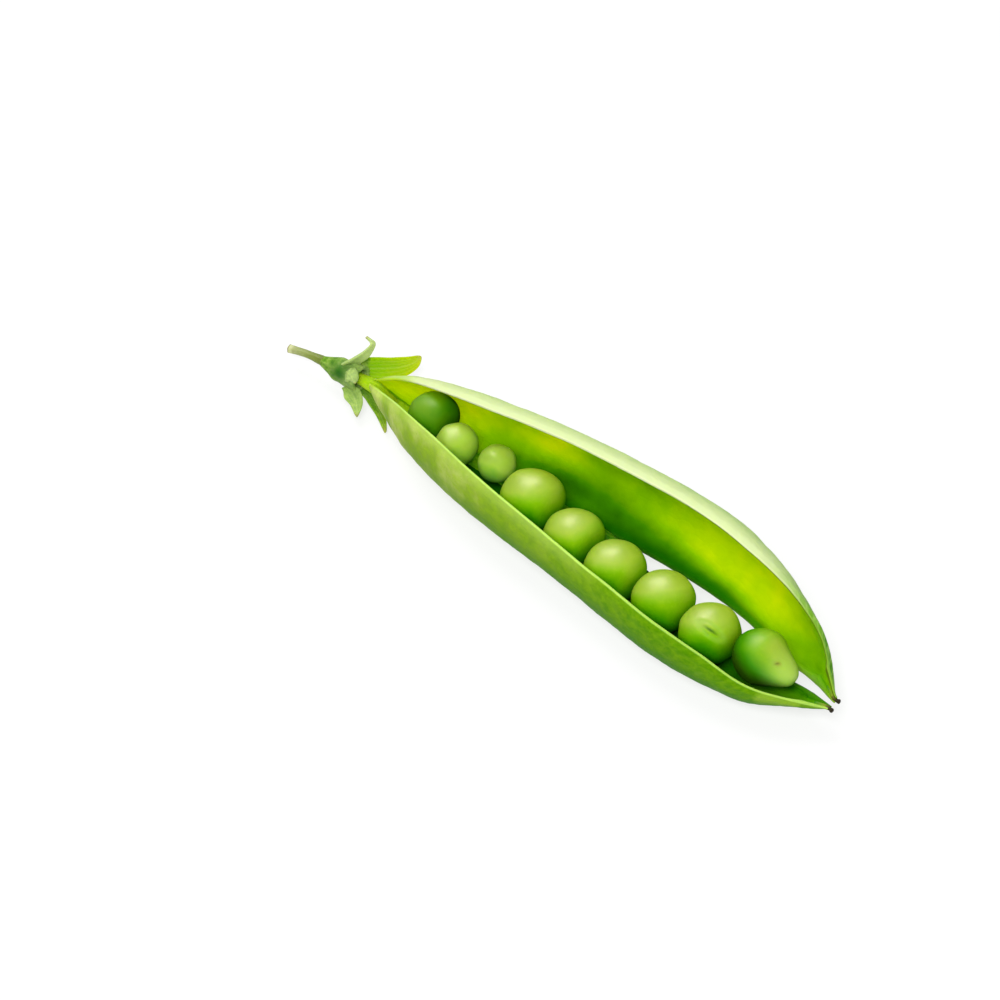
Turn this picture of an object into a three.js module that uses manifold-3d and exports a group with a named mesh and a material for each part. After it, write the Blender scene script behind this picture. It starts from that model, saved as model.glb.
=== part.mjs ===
// A garden pea pod, split open and lying on its belly, with nine peas, its calyx and its stem.
//
// Millimetres. +X runs from the stem to the tip, +Y to the back and +Z up. The pod is laid out
// round its back suture, with x = 0 at the neck, and the whole is moved at the end so that the
// origin is at the middle of the foot of its bounding box.
//
// The near valve cradles the peas. The far valve stands up behind them. The two hang together
// along the back suture from the neck to the middle of the pod, and part from there to the tip.

import * as THREE from 'three';
import { mergeVertices } from 'three/addons/utils/BufferGeometryUtils.js';
import Module from 'manifold-3d';

const { clamp, degToRad, lerp, smoothstep } = THREE.MathUtils;

const wasm = await Module();
wasm.setup();

// ---------------------------------------------------------------- pod, driving dimensions

const podLength = 98; // neck to tip, the dark points not counted
const valveHeight = 15.7; // back suture to rim where the pod is highest
const neckHeight = 2.0; // the same where the pod leaves the calyx
const tipHeight = 1.3;
const depthShare = { neck: 0.387, middle: 0.46, nearTip: 0.355, farTip: 0.303 }; // bulge over height
const fullness = { neck: [3.97, 0.775], tip: [4.15, 0.91] }; // blunt at the neck, pointed at the tip
const wall = 1.2; // flesh of a valve
const rimWall = 0.75; // flesh at its free edge

// A valve's tilt is the angle that its height makes with the table. 90 stands upright.
const nearTilt = { neck: 58.7, middle: 36.4, tipDrop: 12.7 };
const farTilt = { neck: 85.4, middle: 94.8, tipRise: 23.2 };

const split = { width: 3.15, from: 0.425, full: 0.758, closing: 0.776, atTip: 0.47 };
const splitDirection = new THREE.Vector2(0.821, 0.543); // the far valve parts to the back and up
const suture = { radius: 1.25, neckRadius: 0.9, end: 0.52 };
const driedTip = { length: 0.8, radius: 0.5, endRadius: 0.34 };

// The line of the back suture: share of the length, then y and z.
const suturePath = [
  [0, -0.8, 1.45],
  [0.06, 0.5, -1.0],
  [0.14, 0.43, -1.75],
  [0.25, 0.4, -1.3],
  [0.5, 1.6, -0.13],
  [0.75, 0.13, -0.46],
  [0.88, -0.6, -0.4],
  [0.95, -1.1, 1.45],
  [1, -1.9, 2.2],
];
const restHeight = -2.35; // the flat that the belly rests on, cut this high

// Each pea: place along the pod, y, z, radius, how far it reaches to the stem and to the tip as
// shares of its radius, where its neighbours press it, and how far its tip end narrows.
const peas = [
  { x: 13.95, y: -1.1, z: 4.35, radius: 4.3, back: 1.04, front: 0.72, narrowing: 0 },
  { x: 20.6, y: -2.9, z: 4.35, radius: 3.55, back: 0.93, front: 0.93, narrowing: 0 },
  { x: 27.7, y: -1, z: 3.7, radius: 3.1, back: 0.97, front: 0.97, narrowing: 0 },
  { x: 38.4, y: -3.8, z: 4.85, radius: 5.15, back: 1.12, front: 0.76, narrowing: 0 },
  { x: 48.05, y: -4.85, z: 4.03, radius: 5, back: 1.07, front: 0.67, narrowing: 0 },
  { x: 56.98, y: -5.35, z: 3.92, radius: 5.08, back: 1.02, front: 0.79, narrowing: 0 },
  { x: 66.6, y: -4.9, z: 4, radius: 5.05, back: 1.02, front: 0.83, narrowing: 0 },
  { x: 76.15, y: -4.95, z: 4.12, radius: 4.9, back: 1.02, front: 0.87, narrowing: 0 },
  { x: 85.5, y: -3.6, z: 4.87, radius: 4.45, back: 1.08, front: 1.07, narrowing: 0.24 },
];
const peaBulge = { height: 0.12, spread: 4.2 }; // how a pea shows through the flesh of the near valve

// ---------------------------------------------------------------- calyx and stem

const calyxRoot = new THREE.Vector3(-10.4, -2.3, 1.4); // where the stem meets the cup
const calyxRim = new THREE.Vector3(-2.5, -1.4, 2.0); // middle of the cup's open end

// The cup, as rows of [share of its length, radius]. The lining goes as deep as the pod's neck.
const cupSkin = [
  [0, 0.95],
  [0.12, 1.4],
  [0.3, 1.95],
  [0.45, 2.15],
  [0.7, 2.15],
  [1, 2.3],
];
const cupLining = [
  [1, 1.7],
  [0.75, 1.55],
  [0.55, 1.5],
];

// Each sepal: points along its middle, the way its inner face looks, its greatest width, the
// share of it that its root has, how blunt it ends, and how far its sides fold up.
const sepals = [
  {
    path: [[-5.4, -1.3, 3.7], [-3.9, -0.75, 5.3], [-2.5, 0.2, 7.3], [-1.9, 1, 9.1], [-3.3, 1, 9.55]],
    inner: [0.8, -0.5, -0.2],
    width: 2.9,
    root: 0.8,
    blunt: 1,
    fold: 0.3,
  },
  {
    path: [[-4.3, 0.3, 2.4], [-2.4, 2.2, 2.1], [-0.1, 4.4, 2.2], [1.5, 6.6, 2.65], [1.85, 8.3, 3.1]],
    inner: [0.5, -0.8, 0.25],
    width: 4.5,
    root: 0.85,
    blunt: 3.2,
    fold: 0.2,
  },
  {
    path: [[-4.6, -2.65, 3.15], [-3.6, -2.95, 3.7], [-2.5, -3.25, 3.7], [-1.8, -3.25, 3]],
    inner: [0.2, 0.6, -0.8],
    width: 2.7,
    root: 0.5,
    blunt: 3,
    fold: 0.2,
  },
  {
    path: [[-4.3, -3.15, 0.25], [-2.15, -3.75, 0.25], [-0.4, -4.6, 0.1], [1.2, -6.2, -0.5]],
    inner: [0.1, -0.3, 0.9],
    width: 3.1,
    root: 0.4,
    blunt: 1.8,
    fold: 0.25,
  },
  {
    path: [[-4, -1.6, -0.1], [-0.7, -1.5, -0.85], [2.8, -2.7, -1.3], [6.4, -4.9, -1.45]],
    inner: [0.2, 0.35, 0.9],
    width: 3.1,
    root: 0.8,
    blunt: 1.4,
    fold: 0.25,
  },
];
const sepalThickness = 0.7;
const stemEnd = new THREE.Vector3(-17, -3.5, 0.6);
const stemRadius = { root: 0.85, middle: 0.65, end: 0.72 };
const gap = 0.3; // clearance between neighbours

// ---------------------------------------------------------------- fineness

const stations = 42; // along the pod
const archSteps = 12; // across a valve
const roundSides = 12; // round the suture, the neck and the stem

// ---------------------------------------------------------------- small helpers

// A smooth curve through rows of [position, value, value].
function through(rows, at, column) {
  const last = rows.length - 1;
  const slope = (i) => (rows[i + 1][column] - rows[i][column]) / (rows[i + 1][0] - rows[i][0]);
  const tangent = (i) => {
    if (i === 0) return slope(0);
    if (i === last) return slope(last - 1);
    const before = rows[i][0] - rows[i - 1][0];
    const after = rows[i + 1][0] - rows[i][0];
    return (slope(i - 1) * after + slope(i) * before) / (before + after);
  };
  let i = 0;
  while (i < last - 1 && at > rows[i + 1][0]) i += 1;
  const span = rows[i + 1][0] - rows[i][0];
  const s = (at - rows[i][0]) / span;
  return (
    (2 * s ** 3 - 3 * s ** 2 + 1) * rows[i][column] +
    (s ** 3 - 2 * s ** 2 + s) * span * tangent(i) +
    (-2 * s ** 3 + 3 * s ** 2) * rows[i + 1][column] +
    (s ** 3 - s ** 2) * span * tangent(i + 1)
  );
}

// A closed body from rings of points, all with the same count. Each ring is a loop that goes out
// along one face and back along the other, so its two halves pair up and close the ends.
function bodyFromLoops(loops) {
  const count = loops[0].length;
  const positions = loops.flat().flatMap((p) => [p.x, p.y, p.z]);
  const triangles = [];
  for (let i = 0; i + 1 < loops.length; i += 1) {
    for (let j = 0; j < count; j += 1) {
      const a = i * count + j;
      const b = i * count + ((j + 1) % count);
      triangles.push(a, b, b + count, a, b + count, a + count);
    }
  }
  const end = (loops.length - 1) * count;
  for (let j = 0; j + 1 < count / 2; j += 1) {
    const out = [j, j + 1];
    const back = [count - 1 - j, count - 2 - j];
    triangles.push(out[0], back[0], back[1], out[0], back[1], out[1]);
    triangles.push(end + out[0], end + back[1], end + back[0], end + out[0], end + out[1], end + back[1]);
  }
  const geometry = new THREE.BufferGeometry();
  geometry.setAttribute('position', new THREE.Float32BufferAttribute(positions, 3));
  geometry.setIndex(triangles);
  return geometry;
}

// A solid for joining and cutting. A body whose faces point in is turned out.
function solid(geometry) {
  const bare = geometry.clone();
  bare.deleteAttribute('normal');
  bare.deleteAttribute('uv');
  const merged = mergeVertices(bare, 1e-4);
  const vertProperties = new Float32Array(merged.attributes.position.array);
  const triVerts = new Uint32Array(merged.index.array);
  const make = () => new wasm.Manifold(new wasm.Mesh({ numProp: 3, vertProperties, triVerts }));
  const made = make();
  if (made.volume() > 0) return made;
  for (let i = 0; i < triVerts.length; i += 3) {
    [triVerts[i + 1], triVerts[i + 2]] = [triVerts[i + 2], triVerts[i + 1]];
  }
  return make();
}

function geometryOf(manifold) {
  const mesh = manifold.getMesh();
  const geometry = new THREE.BufferGeometry();
  geometry.setAttribute('position', new THREE.BufferAttribute(mesh.vertProperties, 3));
  geometry.setIndex(new THREE.BufferAttribute(mesh.triVerts, 1));
  return geometry;
}

const joined = (solids) => solids.reduce((all, one) => all.add(one));

// A round body along a curve, from its radius at each share of the way. Both ends are closed.
function roundBody(curve, radiusAt, steps) {
  const loops = [];
  for (let i = 0; i <= steps; i += 1) {
    const at = curve.getPointAt(i / steps);
    const ahead = curve.getTangentAt(i / steps);
    const side = new THREE.Vector3(0, 0, 1).cross(ahead).normalize();
    const up = ahead.clone().cross(side);
    const radius = radiusAt(i / steps);
    loops.push(
      Array.from({ length: roundSides }, (_, j) => {
        const turn = (j / roundSides) * 2 * Math.PI;
        return at
          .clone()
          .addScaledVector(side, radius * Math.cos(turn))
          .addScaledVector(up, radius * Math.sin(turn));
      }),
    );
  }
  return bodyFromLoops(loops);
}

// ---------------------------------------------------------------- the pod's two valves

function valveShape(share, side) {
  const [power, root] = share < 0.5 ? fullness.neck : fullness.tip;
  const outward = Math.abs(share - 0.5) / 0.5;
  const profile = valveHeight * (1 - outward ** power) ** root;
  const height = Math.hypot(profile, share < 0.5 ? neckHeight : tipHeight);
  const plump = lerp(depthShare.neck, depthShare.middle, smoothstep(share, 0, 0.58));
  const lean = side < 0 ? depthShare.nearTip : depthShare.farTip;
  const depth = height * lerp(plump, lean, smoothstep(share, 0.7, 1));
  const near =
    lerp(nearTilt.neck, nearTilt.middle, smoothstep(share, 0.075, 0.58)) -
    nearTilt.tipDrop * smoothstep(share, 0.8, 1);
  const far =
    lerp(farTilt.neck, farTilt.middle, smoothstep(share, 0.133, 0.486)) +
    farTilt.tipRise * smoothstep(share, 0.75, 1);
  const parting =
    side < 0
      ? 0
      : split.width * smoothstep(share, split.from, split.full) * (1 - smoothstep(share, split.closing, 1)) +
        split.atTip * smoothstep(share, 0.8, 1);
  const edge = new THREE.Vector2(through(suturePath, share, 1), through(suturePath, share, 2));
  edge.addScaledVector(splitDirection, parting);
  return { height, depth, tilt: degToRad(side < 0 ? near : far), edge };
}

// A point of a valve. arch runs from 0 at the back suture to pi at the rim, inset is the distance
// in from the outer skin, and side is -1 for the near valve and 1 for the far one.
function valvePoint(share, arch, side, inset) {
  const { height, depth, tilt, edge } = valveShape(share, side);
  const rise = new THREE.Vector2(-Math.cos(tilt), Math.sin(tilt));
  const out = new THREE.Vector2(side * Math.sin(tilt), side * Math.cos(tilt));
  const half = height / 2;
  let bulge = 0;
  if (side < 0) {
    for (const pea of peas) {
      const reach = (share * podLength - pea.x) / peaBulge.spread;
      bulge += peaBulge.height * (pea.radius / 5) * Math.exp(-reach * reach);
    }
  }
  const point = edge
    .clone()
    .addScaledVector(rise, half - (half - inset) * Math.cos(arch))
    .addScaledVector(out, (depth + bulge - inset) * Math.sin(arch));
  return new THREE.Vector3(share * podLength, point.x, point.y);
}

function valve(side) {
  const loops = [];
  for (let i = 0; i <= stations; i += 1) {
    const share = 0.5 - 0.5 * Math.cos((Math.PI * i) / stations);
    const { height } = valveShape(share, side);
    const flesh = wall * clamp(height / 5, 0.25, 1);
    const arches = Array.from({ length: archSteps + 1 }, (_, j) => (Math.PI * j) / archSteps);
    const inset = (arch) => lerp(flesh, (flesh * rimWall) / wall, smoothstep(arch, 0.7 * Math.PI, Math.PI));
    const skin = arches.map((arch) => valvePoint(share, arch, side, 0));
    const lining = arches.map((arch) => valvePoint(share, arch, side, inset(arch)));
    loops.push([...skin, ...lining.reverse()]);
  }
  return bodyFromLoops(loops);
}

// The cord of tissue that holds the valves together at the back, as far as the split.
function sutureCord() {
  const points = [];
  for (let i = 0; i <= 12; i += 1) {
    const share = (suture.end * i) / 12;
    const y = through(suturePath, share, 1) - 0.35;
    const z = through(suturePath, share, 2) + 0.35;
    points.push(new THREE.Vector3(share * podLength, y, z));
  }
  const radius = (s) =>
    lerp(suture.neckRadius, suture.radius, smoothstep(s, 0, 0.2)) * (1 - 0.5 * smoothstep(s, 0.88, 1));
  return roundBody(new THREE.CatmullRomCurve3(points), radius, 26);
}

// The neck that joins the two valves and runs back into the calyx.
function neck() {
  const seat = calyxRoot.clone().lerp(calyxRim, cupLining[2][0] + 0.05);
  const path = new THREE.CatmullRomCurve3([
    seat,
    calyxRim.clone(),
    new THREE.Vector3(0.6, -1.1, 2.0),
    new THREE.Vector3(2.8, -0.6, 1.0),
    new THREE.Vector3(5.5, 0.1, -0.3),
  ]);
  return roundBody(path, (s) => lerp(0.85, 1.2, smoothstep(s, 0.1, 0.5)) * (1 - 0.5 * smoothstep(s, 0.5, 1)), 14);
}

// The dried point that each valve ends in.
function driedPoint(side) {
  const root = valvePoint(0.975, 1.1, side, 0.6);
  const knee = valvePoint(1, Math.PI / 2, side, 0.25);
  const end = knee.clone().add(new THREE.Vector3(driedTip.length, side * 0.12, 0));
  return roundBody(
    new THREE.CatmullRomCurve3([root, knee, end]),
    (s) => lerp(driedTip.radius, driedTip.endRadius, s),
    6,
  );
}

function podShell() {
  const parts = [valve(-1), valve(1), sutureCord(), neck(), driedPoint(-1), driedPoint(1)];
  const tableTop = new THREE.BoxGeometry(2 * podLength, podLength, 10);
  tableTop.translate(podLength / 2, 0, restHeight - 5);
  return geometryOf(joined(parts.map(solid)).subtract(solid(tableTop)));
}

// ---------------------------------------------------------------- peas

// A ball pressed flat on the two sides where it meets its neighbours, and narrower at its tip end.
function peaGeometry({ radius, back, front, narrowing }) {
  const geometry = new THREE.SphereGeometry(1, 18, 12);
  geometry.rotateZ(Math.PI / 2);
  const place = geometry.attributes.position;
  const flatness = 5;
  for (let i = 0; i < place.count; i += 1) {
    const p = new THREE.Vector3().fromBufferAttribute(place, i);
    const share = p.x < 0 ? back : front;
    const press = Math.max(share ** -flatness - 1, 0);
    const pressed = (Math.max(share, 1) * p.x) / (1 + press * Math.abs(p.x) ** flatness) ** (1 / flatness);
    const waist = 1 - narrowing * smoothstep(p.x, 0, 0.9);
    const longer = 1 + 1.5 * narrowing * smoothstep(p.x, 0, 1);
    place.setXYZ(i, pressed * longer * radius, p.y * waist * radius, p.z * waist * radius);
  }
  return geometry;
}

// ---------------------------------------------------------------- calyx

// The green cup that the pod stands in: a bell round the neck, open in front.
function cupGeometry() {
  const axis = calyxRim.clone().sub(calyxRoot);
  const length = axis.length();
  const turned = [...cupSkin, ...cupLining].map(([share, radius]) => new THREE.Vector2(radius, share * length));
  turned.unshift(new THREE.Vector2(0, 0));
  turned.push(new THREE.Vector2(0, cupLining[2][0] * length));
  const geometry = new THREE.LatheGeometry(turned, 18);
  const upright = new THREE.Vector3(0, 1, 0);
  geometry.applyQuaternion(new THREE.Quaternion().setFromUnitVectors(upright, axis.normalize()));
  geometry.translate(calyxRoot.x, calyxRoot.y, calyxRoot.z);
  return geometry;
}

// A blade that leaves the cup's rim, folded a little along its middle.
function sepalGeometry({ path, inner, width, root, blunt, fold }) {
  const curve = new THREE.CatmullRomCurve3(path.map((p) => new THREE.Vector3(...p)));
  const steps = 12;
  const widthSteps = 4;
  const loops = [];
  for (let i = 0; i <= steps; i += 1) {
    const s = i / steps;
    const at = curve.getPointAt(s);
    const ahead = curve.getTangentAt(s);
    const face = new THREE.Vector3(...inner).projectOnPlane(ahead).normalize();
    const across = ahead.clone().cross(face);
    const half = (width / 2) * lerp(root, 1, smoothstep(s, 0, 0.4)) * (1 - s ** blunt) ** 0.8 + 0.14;
    const row = (lift) =>
      Array.from({ length: widthSteps + 1 }, (_, j) => {
        const v = (2 * j) / widthSteps - 1;
        return at
          .clone()
          .addScaledVector(across, v * half)
          .addScaledVector(face, lift + fold * half * v * v);
      });
    loops.push([...row(sepalThickness / 2), ...row(-sepalThickness / 2).reverse()]);
  }
  return bodyFromLoops(loops);
}

function calyxGeometry() {
  return geometryOf(joined([cupGeometry(), ...sepals.map(sepalGeometry)].map(solid)));
}

// ---------------------------------------------------------------- stem

function stemGeometry() {
  const axis = calyxRim.clone().sub(calyxRoot).normalize();
  const start = calyxRoot.clone().addScaledVector(axis, -1.3 * gap);
  const bend = calyxRoot.clone().lerp(stemEnd, 0.5).add(new THREE.Vector3(0, 0, 0.25));
  const radius = (s) =>
    lerp(stemRadius.root, stemRadius.middle, smoothstep(s, 0, 0.4)) +
    (stemRadius.end - stemRadius.middle) * smoothstep(s, 0.75, 1);
  return roundBody(new THREE.CatmullRomCurve3([start, bend, stemEnd]), radius, 10);
}

// ---------------------------------------------------------------- the object

const finish = {
  pod: new THREE.MeshStandardMaterial({ color: 0x7fb23a, roughness: 0.42, metalness: 0 }),
  pea: new THREE.MeshStandardMaterial({ color: 0x8fc23c, roughness: 0.32, metalness: 0 }),
  calyx: new THREE.MeshStandardMaterial({ color: 0x6fa045, roughness: 0.55, metalness: 0 }),
  stem: new THREE.MeshStandardMaterial({ color: 0x9dae4a, roughness: 0.55, metalness: 0 }),
};

function piece(name, geometry, material) {
  const mesh = new THREE.Mesh(geometry, material);
  mesh.name = name;
  return mesh;
}

const peaPod = new THREE.Group();
peaPod.add(piece('pod_shell', podShell(), finish.pod));
peas.forEach((pea, index) => {
  const mesh = piece(`pea_${index + 1}`, geometryOf(solid(peaGeometry(pea))), finish.pea);
  mesh.position.set(pea.x, pea.y, pea.z);
  peaPod.add(mesh);
});
peaPod.add(piece('calyx', calyxGeometry(), finish.calyx));
peaPod.add(piece('stem', geometryOf(solid(stemGeometry())), finish.stem));

const reach = new THREE.Box3().setFromObject(peaPod);
const centre = reach.getCenter(new THREE.Vector3());
peaPod.position.set(-centre.x, -centre.y, -reach.min.z);

export default peaPod;
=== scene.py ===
import math

import bpy
import numpy as np
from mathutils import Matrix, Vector


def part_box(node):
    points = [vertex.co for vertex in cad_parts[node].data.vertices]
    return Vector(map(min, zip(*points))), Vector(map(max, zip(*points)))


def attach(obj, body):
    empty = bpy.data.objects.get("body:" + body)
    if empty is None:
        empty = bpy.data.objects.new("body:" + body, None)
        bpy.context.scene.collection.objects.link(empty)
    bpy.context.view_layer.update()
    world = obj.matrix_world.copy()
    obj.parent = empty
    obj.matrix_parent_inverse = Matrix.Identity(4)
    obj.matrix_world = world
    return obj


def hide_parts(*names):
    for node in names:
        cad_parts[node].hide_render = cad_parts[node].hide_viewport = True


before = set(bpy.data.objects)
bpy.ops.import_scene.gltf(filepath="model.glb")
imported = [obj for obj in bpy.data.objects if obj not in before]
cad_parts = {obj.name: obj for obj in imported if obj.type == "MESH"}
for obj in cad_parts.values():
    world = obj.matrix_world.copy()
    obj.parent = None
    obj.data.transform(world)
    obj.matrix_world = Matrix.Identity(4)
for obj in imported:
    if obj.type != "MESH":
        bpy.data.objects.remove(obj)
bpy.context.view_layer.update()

# Sizes are in millimetres, laid out round the pod's back seam with x = 0 at the neck, as in
# the part's own source. place() turns them into metres in the part's frame.

perMetre = 1000  # millimetres
peaThree = (27.7, -1.0, 3.7)  # middle of the third pea, which ties the two frames together
low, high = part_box("pea_3")
origin = np.array((low + high) / 2) * perMetre - np.array(peaThree)


def place(points):
    return (np.asarray(points, float) + origin) / perMetre


def ease(value, start, end):  # 0 before start, 1 after end
    t = np.clip((np.asarray(value, float) - start) / (end - start), 0, 1)
    return t * t * (3 - 2 * t)


def mix(a, b, t):
    return a + (b - a) * t


def bell(value, middle, width):
    return np.exp(-((np.asarray(value, float) - middle) / width) ** 2)


def ripples(u, v, seed, size, waves=9):
    # gentle unevenness, about -1 to 1, with swells about size mm apart
    random = np.random.default_rng(seed)
    total = 0
    for _ in range(waves):
        turn = random.uniform(0, math.pi)
        pitch = 2 * math.pi / size * random.uniform(0.6, 1.7)
        phase = random.uniform(0, 2 * math.pi)
        total = total + np.sin(pitch * (math.cos(turn) * u + math.sin(turn) * v) + phase)
    return total / math.sqrt(waves)


def through(rows, at, column):  # smooth curve through rows of (position, value, value)
    rows = np.array(rows, float)
    x, y = rows[:, 0], rows[:, column]
    gap = np.diff(x)
    slope = np.diff(y) / gap
    inner = (slope[:-1] * gap[1:] + slope[1:] * gap[:-1]) / (gap[:-1] + gap[1:])
    tangent = np.concatenate([slope[:1], inner, slope[-1:]])
    i = np.clip(np.searchsorted(x, at) - 1, 0, len(x) - 2)
    s = (at - x[i]) / gap[i]
    return (
        (2 * s**3 - 3 * s**2 + 1) * y[i]
        + (s**3 - 2 * s**2 + s) * gap[i] * tangent[i]
        + (3 * s**2 - 2 * s**3) * y[i + 1]
        + (s**3 - s**2) * gap[i] * tangent[i + 1]
    )


def unit(v):
    return v / np.linalg.norm(v, axis=-1, keepdims=True)


def curveThrough(points, count, finer=60):
    # evenly spaced points on a smooth line through the given ones, and the way it runs there
    points = np.array(points, float)
    ends = np.vstack([2 * points[0] - points[1], points, 2 * points[-1] - points[-2]])
    fine = []
    for i in range(1, len(ends) - 2):
        p0, p1, p2, p3 = ends[i - 1 : i + 3]
        gaps = [np.linalg.norm(b - a) ** 0.5 for a, b in ((p0, p1), (p1, p2), (p2, p3))]
        k0, k1, k2, k3 = np.cumsum([0] + gaps)
        t = np.linspace(k1, k2, finer, endpoint=False)[:, None]
        a1 = mix(p0, p1, (t - k0) / (k1 - k0))
        a2 = mix(p1, p2, (t - k1) / (k2 - k1))
        a3 = mix(p2, p3, (t - k2) / (k3 - k2))
        b1 = mix(a1, a2, (t - k0) / (k2 - k0))
        b2 = mix(a2, a3, (t - k1) / (k3 - k1))
        fine.append(mix(b1, b2, (t - k1) / (k2 - k1)))
    fine = np.vstack(fine + [points[-1:]])
    reach = np.concatenate([[0], np.cumsum(np.linalg.norm(np.diff(fine, axis=0), axis=1))])
    at = np.linspace(0, reach[-1], count)
    line = np.stack([np.interp(at, reach, fine[:, k]) for k in range(3)], axis=1)
    return line, unit(np.gradient(line, axis=0))


def makePiece(name, points, faces, material, nodes, marks):
    mesh = bpy.data.meshes.new(name)
    mesh.from_pydata(place(points).tolist(), [], faces)
    mesh.validate()
    mesh.polygons.foreach_set("use_smooth", [True] * len(mesh.polygons))
    for label, values in marks.items():
        values = np.asarray(values, np.float32)
        kind, field = ("FLOAT_VECTOR", "vector") if values.ndim == 2 else ("FLOAT", "value")
        mesh.attributes.new(label, kind, "POINT").data.foreach_set(field, values.ravel())
    mesh.update()
    mesh.materials.append(material)
    piece = bpy.data.objects.new(name, mesh)
    bpy.context.scene.collection.objects.link(piece)
    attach(piece, "root")
    if nodes:
        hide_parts(*nodes)
    print(name, len(mesh.vertices), "points")


def loopFaces(rows, count):  # quads between rings of count points
    faces = []
    for i in range(rows - 1):
        for j in range(count):
            a, b = i * count + j, i * count + (j + 1) % count
            faces.append((a, b, b + count, a + count))
    return faces


def closeRings(rings, start, end):  # a skin over rings of points, with a point at each end
    rows, sides = rings.shape[:2]
    faces = loopFaces(rows, sides)
    last = rows * sides
    for j in range(sides):
        k = (j + 1) % sides
        faces.append((k, j, last))
        faces.append((last - sides + j, last - sides + k, last + 1))
    return np.vstack([rings.reshape(-1, 3), start, end]), faces


def closeLoops(faces, rows, count, width, partner):
    # quads across both ends of a hollow strip, from each point to the one that faces it
    last = (rows - 1) * count
    for j in range(width - 1):
        a, b, d, e = j, j + 1, partner - j, partner - 1 - j
        faces.append((a, d, e, b))
        faces.append((last + a, last + b, last + e, last + d))


def ringsRound(line, side, up, radius, turn):
    return (
        line[:, None]
        + side * (radius * np.cos(turn))[..., None]
        + up * (radius * np.sin(turn))[..., None]
    )


def tube(line, ahead, radius, sides, relief):
    # a skin round a line, with a point at each end; relief(turn, share) scales the radius
    side = unit(np.cross([0, 0, 1], ahead))
    up = np.cross(ahead, side)
    turn = np.linspace(0, 2 * math.pi, sides, endpoint=False)
    share = np.linspace(0, 1, len(line))
    r = np.broadcast_to(radius[:, None], (len(line), sides)).copy()
    r *= relief(turn[None, :], share[:, None])
    rings = ringsRound(line, side[:, None], up[:, None], r, turn)
    points, faces = closeRings(rings, line[:1], line[-1:])
    along = np.concatenate([np.repeat(share, sides), [0, 1]])
    around = np.concatenate([np.tile(turn, len(line)), [0, 0]])
    return points, faces, along, around


def roundGrain(along, around, scale):
    # where a round piece's patterns are read: along it, round it, and apart from the other pieces
    return np.stack([along * scale[0], around * scale[1], 0 * along + scale[2]], axis=1)


def tint(red, green, blue):  # screen colour, 0 to 255
    parts = [c / 255 for c in (red, green, blue)]
    return tuple(c / 12.92 if c <= 0.04045 else ((c + 0.055) / 1.055) ** 2.4 for c in parts) + (1,)


leafGlow = (0.75, 1.0, 0.1)  # how far red, green and blue light travel in leafy flesh


painting = {}  # holds the tree of the material being made, which every new node goes into


def join(made, key, value):  # value is another node's output, or a plain value
    if isinstance(value, bpy.types.NodeSocket):
        made.id_data.links.new(value, made.inputs[key])
    else:
        made.inputs[key].default_value = value


def feed(shader, **values):
    for socket, value in values.items():
        join(shader, socket.replace("_", " "), value)


def newMaterial(name, **values):
    material = bpy.data.materials.new(name)
    material.use_nodes = True
    painting["tree"] = material.node_tree
    shader = material.node_tree.nodes["Principled BSDF"]
    feed(shader, **values)
    return material, shader


def node(kind, inputs, **settings):
    made = painting["tree"].nodes.new("ShaderNode" + kind)
    for key, value in settings.items():
        setattr(made, key, value)
    for key, value in inputs.items():
        join(made, key, value)
    return made


def mark(label):  # a value stored on the mesh
    output = "Vector" if label == "grain" else "Fac"
    return node("Attribute", {}, attribute_name=label).outputs[output]


def calc(operation, a, b, clamp=False):
    return node("Math", {0: a, 1: b}, operation=operation, use_clamp=clamp).outputs[0]


def plus(a, b):
    return calc("ADD", a, b)


def times(a, b):
    return calc("MULTIPLY", a, b)


def swing(value, amount):  # a cloud's ups and downs about its middle, made larger or smaller
    return times(calc("SUBTRACT", value, 0.5), amount)


def span(value, start, end, low=0.0, high=1.0):
    made = node("MapRange", {"Value": value, 1: start, 2: end, 3: low, 4: high}, clamp=True)
    made.interpolation_type = "SMOOTHSTEP"
    return made.outputs[0]


def ramp(factor, stops):  # each stop is its place and its red, green and blue
    made = node("ValToRGB", {"Fac": factor})
    steps = made.color_ramp.elements
    while len(steps) < len(stops):
        steps.new(0.5)
    for step, (at, *colour) in zip(steps, stops):
        step.position = at
        step.color = tint(*colour)
    return made.outputs["Color"]


def blend(factor, a, b):
    return node("Mix", {0: factor, 6: a, 7: b}, data_type="RGBA").outputs[2]


def cloud(where, scale, detail, roughness, stretch=None):
    if stretch is not None:
        where = node("Mapping", {"Vector": where, "Scale": stretch}).outputs[0]
    inputs = {"Vector": where, "Scale": scale, "Detail": detail, "Roughness": roughness}
    return node("TexNoise", inputs).outputs["Fac"]


def bumped(height, strength, distance, under=None):
    inputs = {"Height": height, "Strength": strength, "Distance": distance}
    if under is not None:
        inputs["Normal"] = under
    return node("Bump", inputs).outputs[0]


studio = {
    "turn": 43, "rise": 48, "distance": 585.94, "lens": 135, "sensor": 36,
    "target": (37.43, -10.78, 10.26),
    "clip": (0.01, 10),  # metres
    "keyLamp": {"size": 0.45, "power": 2.5, "from": (-0.35, 0.155, 0.52), "shine": True},
    "sideLamp": {"size": 0.35, "power": 4.8, "from": (0.2, -0.36, 0.6), "shine": False},  # a soft fill
    "skyStrength": 0.24,
    "floorHalf": 2.0, "floorGlow": 0.74, "floorShade": 0.23,
}


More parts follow.
